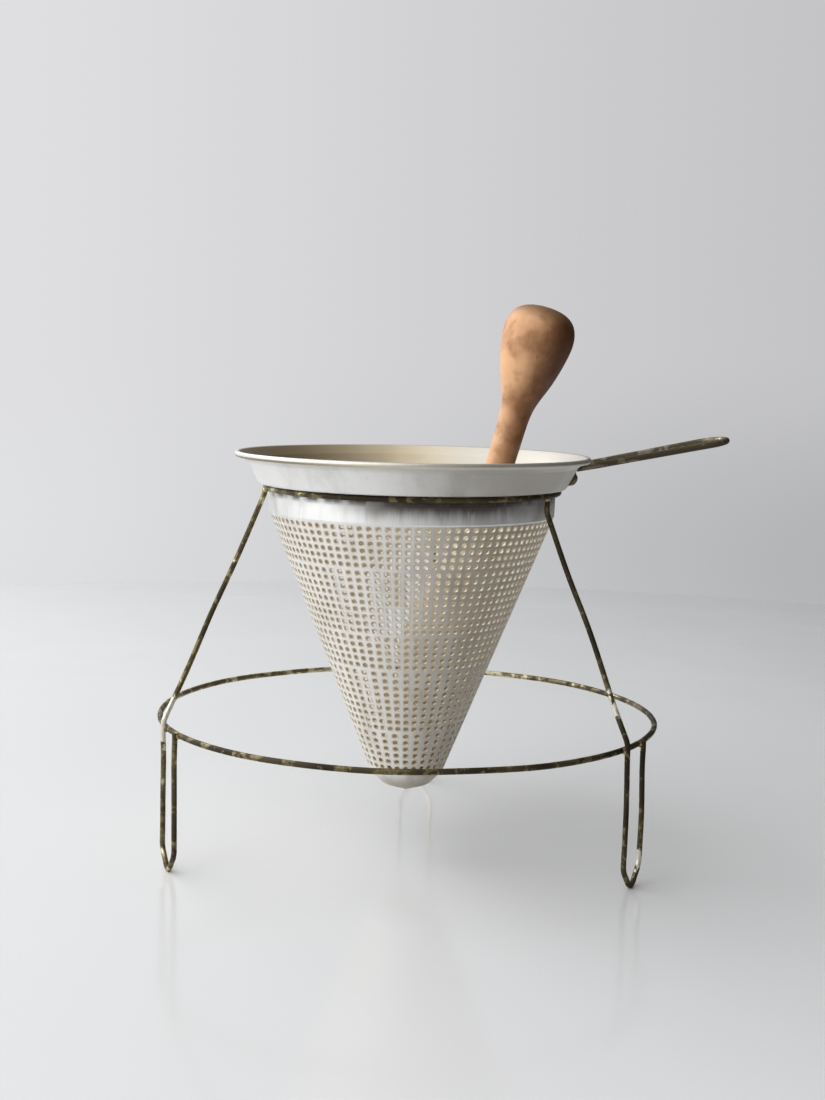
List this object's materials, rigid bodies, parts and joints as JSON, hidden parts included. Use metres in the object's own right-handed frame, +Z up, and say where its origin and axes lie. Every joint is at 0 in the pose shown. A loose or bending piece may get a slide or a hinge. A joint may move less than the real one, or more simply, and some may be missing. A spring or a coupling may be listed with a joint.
{
  "type": "conical food press",
  "caption": "Conical aluminium sieve with rolled rim and wire handle in a three-legged wire stand, with a turned wooden pestle leaning inside.",
  "frame": {"origin": "on the table, under the centre of the stand's rings", "axes": "+Z up along the sieve's axis, +X towards the handle's side and the pestle's lean, -Y towards the viewer, with one leg at the back"},
  "size_m": [0.3111, 0.2727, 0.2948],
  "materials": {
    "stand_wire": "tarnished plated wire, satin, chipped",
    "sieve_sheet": "satin, spun, stained inside",
    "handle_wire": "tarnished plated wire with rust spots",
    "rivet_metal": "dull, rusty",
    "pestle_wood": "turned, oiled and worn"
  },
  "bodies": {
    "stand": {"upper_ring": "stand_wire", "lower_ring": "stand_wire", "left_leg": "stand_wire", "right_leg": "stand_wire", "back_leg": "stand_wire", "weld_beads": "stand_wire"},
    "cone_sieve": {"sieve": "sieve_sheet", "handle": "handle_wire", "handle_rivets": "rivet_metal"},
    "pestle": {"pestle": "pestle_wood"}
  },
  "joints": [
    {"name": "sieve_lift", "type": "slide", "parent": "stand", "child": "cone_sieve", "axis": [0, 0, 1], "range_m": [0, 0.18]},
    {"name": "pestle_roll", "type": "hinge", "parent": "cone_sieve", "child": "pestle", "pos_m": [0, 0, 0.0359], "axis": [0, 0, 1], "continuous": true}
  ]
}
